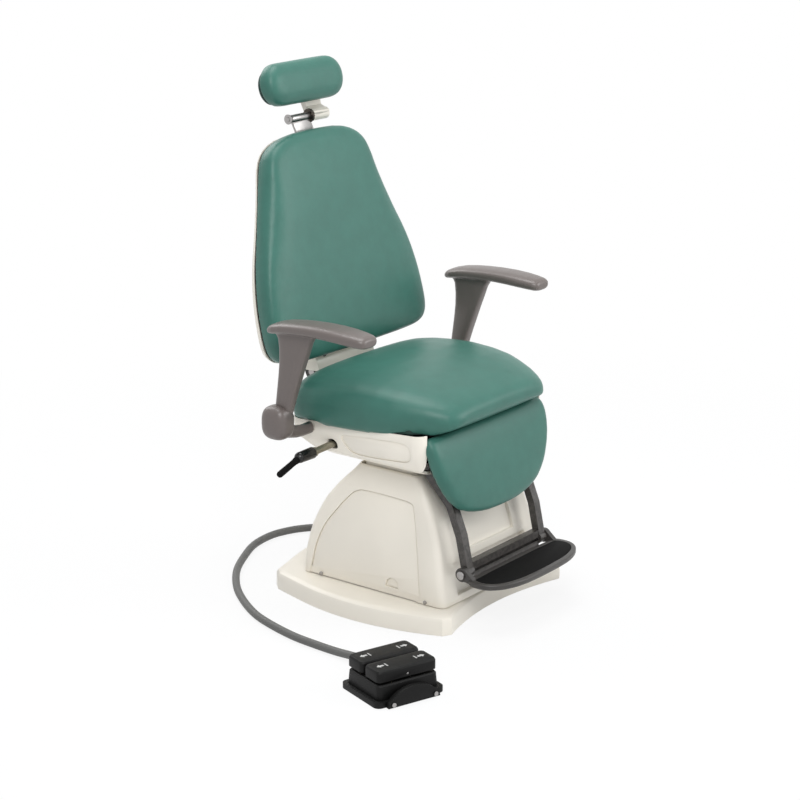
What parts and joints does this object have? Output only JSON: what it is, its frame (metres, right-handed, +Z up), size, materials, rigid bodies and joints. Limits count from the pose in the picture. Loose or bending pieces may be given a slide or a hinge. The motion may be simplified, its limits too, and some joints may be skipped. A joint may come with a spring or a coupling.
{
  "type": "ear nose and throat chair",
  "caption": "Electric ENT examination chair: turning column, seat lift, reclining back with linked leg rest, headrest, folding arms and a wired foot controller.",
  "frame": {"origin": "on the floor under the middle of the lift column", "axes": "+Z up, the chair faces -Y, +X to the sitter's left"},
  "size_m": [0.9913, 0.9009, 1.2034],
  "materials": {
    "painted_steel": "satin",
    "leg_paint": "satin",
    "bright_steel": "brushed",
    "chrome": "polished",
    "cream_plastic": "satin moulded",
    "taupe_plastic": "fine grain",
    "black_plastic": "fine grain",
    "bearing_plastic": "plain",
    "green_vinyl": "soft upholstery vinyl",
    "plywood": "plain",
    "black_rubber": "ribbed",
    "cable_rubber": "smooth",
    "tank_plastic": "plain"
  },
  "bodies": {
    "base": {"floor_plate": "painted_steel", "plinth_cover": "cream_plastic", "slew_ring_fixed": "bright_steel", "mains_inlet": "black_plastic", "cable_gland": "black_plastic", "foot_cable": "cable_rubber", "ctl_base": "black_plastic", "ctl_body": "black_plastic", "ctl_guard": "black_plastic", "ctl_screws": "bright_steel", "ctl_pivots": "bright_steel"},
    "turret": {"slew_balls": "bright_steel", "slew_ring_turning": "bright_steel", "turret_plate": "painted_steel", "column_tube": "painted_steel", "column_bush": "bearing_plastic", "ram_cylinder": "painted_steel", "pump_unit": "painted_steel", "oil_tank": "tank_plastic", "control_box": "black_plastic", "column_cover": "cream_plastic", "cover_screws": "bright_steel"},
    "seat": {"lift_tube": "bright_steel", "lift_bush": "bearing_plastic", "ram_rod": "chrome", "neck_cover": "cream_plastic", "seat_frame": "painted_steel", "seat_pan": "cream_plastic", "seat_board": "plywood", "seat_cushion": "green_vinyl", "recline_motor": "painted_steel", "leg_actuator": "painted_steel", "arm_shafts": "bright_steel"},
    "lever": {"lock_shaft": "chrome", "lock_grip": "black_rubber", "brake_cam": "bright_steel"},
    "back": {"hinge_shaft": "bright_steel", "back_frame": "painted_steel", "back_board": "plywood", "back_shell": "cream_plastic", "back_cushion": "green_vinyl", "hinge_cover": "cream_plastic"},
    "head_slide": {"head_bar": "bright_steel"},
    "head_arm": {"head_knob": "bright_steel", "head_block": "cream_plastic", "head_ratchet": "painted_steel", "head_pins": "bright_steel"},
    "head_pad": {"head_board": "plywood", "head_cushion": "green_vinyl"},
    "arm_right": {"arm_right": "taupe_plastic"},
    "arm_left": {"arm_left": "taupe_plastic"},
    "legrest": {"leg_frame": "leg_paint", "leg_board": "plywood", "leg_cushion": "green_vinyl", "foot_bolts": "bright_steel"},
    "leg_rod": {"leg_rod": "bright_steel"},
    "footplate": {"footplate": "leg_paint", "foot_mat": "black_rubber"},
    "pedal_seat": {"ctl_pedal_seat": "black_plastic"},
    "pedal_back": {"ctl_pedal_back": "black_plastic"}
  },
  "joints": [
    {"name": "turret_swivel", "type": "hinge", "parent": "base", "child": "turret", "pos_m": [0, 0, 0.03], "axis": [0, 0, 1], "range_deg": [-170, 170]},
    {"name": "seat_lift", "type": "slide", "parent": "turret", "child": "seat", "axis": [0, 0, 1], "range_m": [0, 0.18]},
    {"name": "back_recline", "type": "hinge", "parent": "seat", "child": "back", "pos_m": [0, 0.258, 0.494], "axis": [-1, 0, 0], "range_deg": [0, 70]},
    {"name": "legrest_swing", "type": "hinge", "parent": "seat", "child": "legrest", "pos_m": [0, -0.14682, 0.38883], "axis": [-1, 0, 0], "range_deg": [0, 70]},
    {"name": "leg_rod_slide", "type": "slide", "parent": "seat", "child": "leg_rod", "axis": [0, -0.9848, -0.1736], "range_m": [0, 0.05041]},
    {"name": "footplate_fold", "type": "hinge", "parent": "legrest", "child": "footplate", "pos_m": [0, -0.226, 0.124], "axis": [-1, 0, 0], "range_deg": [0, 80]},
    {"name": "arm_right_flip", "type": "hinge", "parent": "seat", "child": "arm_right", "pos_m": [0, 0.146, 0.422], "axis": [-1, 0, 0], "range_deg": [0, 85]},
    {"name": "arm_left_flip", "type": "hinge", "parent": "seat", "child": "arm_left", "pos_m": [0, 0.146, 0.422], "axis": [-1, 0, 0], "range_deg": [0, 85]},
    {"name": "head_slide_travel", "type": "slide", "parent": "back", "child": "head_slide", "axis": [0, 0.2419, 0.9703], "range_m": [0, 0.09]},
    {"name": "head_tilt", "type": "hinge", "parent": "head_slide", "child": "head_arm", "pos_m": [0, 0.35983, 1.06709], "axis": [1, 0, 0], "range_deg": [-20, 35]},
    {"name": "head_pad_tilt", "type": "hinge", "parent": "head_arm", "child": "head_pad", "pos_m": [0, 0.39321, 1.12782], "axis": [-1, 0, 0], "range_deg": [-5, 25]},
    {"name": "lock_lever_turn", "type": "hinge", "parent": "seat", "child": "lever", "pos_m": [-0.232, 0.087, 0.386], "axis": [-0.8581, 0.4386, -0.267], "range_deg": [0, 40]},
    {"name": "pedal_seat_rock", "type": "hinge", "parent": "base", "child": "pedal_seat", "pos_m": [-0.51435, -0.27622, 0.056], "axis": [0.3289, 0.9444, 0], "range_deg": [-4, 4], "stiffness_Nm_per_rad": 6},
    {"name": "pedal_back_rock", "type": "hinge", "parent": "base", "child": "pedal_back", "pos_m": [-0.53539, -0.33666, 0.056], "axis": [0.3289, 0.9444, 0], "range_deg": [-4, 4], "stiffness_Nm_per_rad": 6}
  ],
  "couplings": [
    {"joint": "legrest_swing", "follows": "back_recline", "ratio": 1},
    {"joint": "leg_rod_slide", "follows": "back_recline", "m_per_rad": 0.041261}
  ]
}
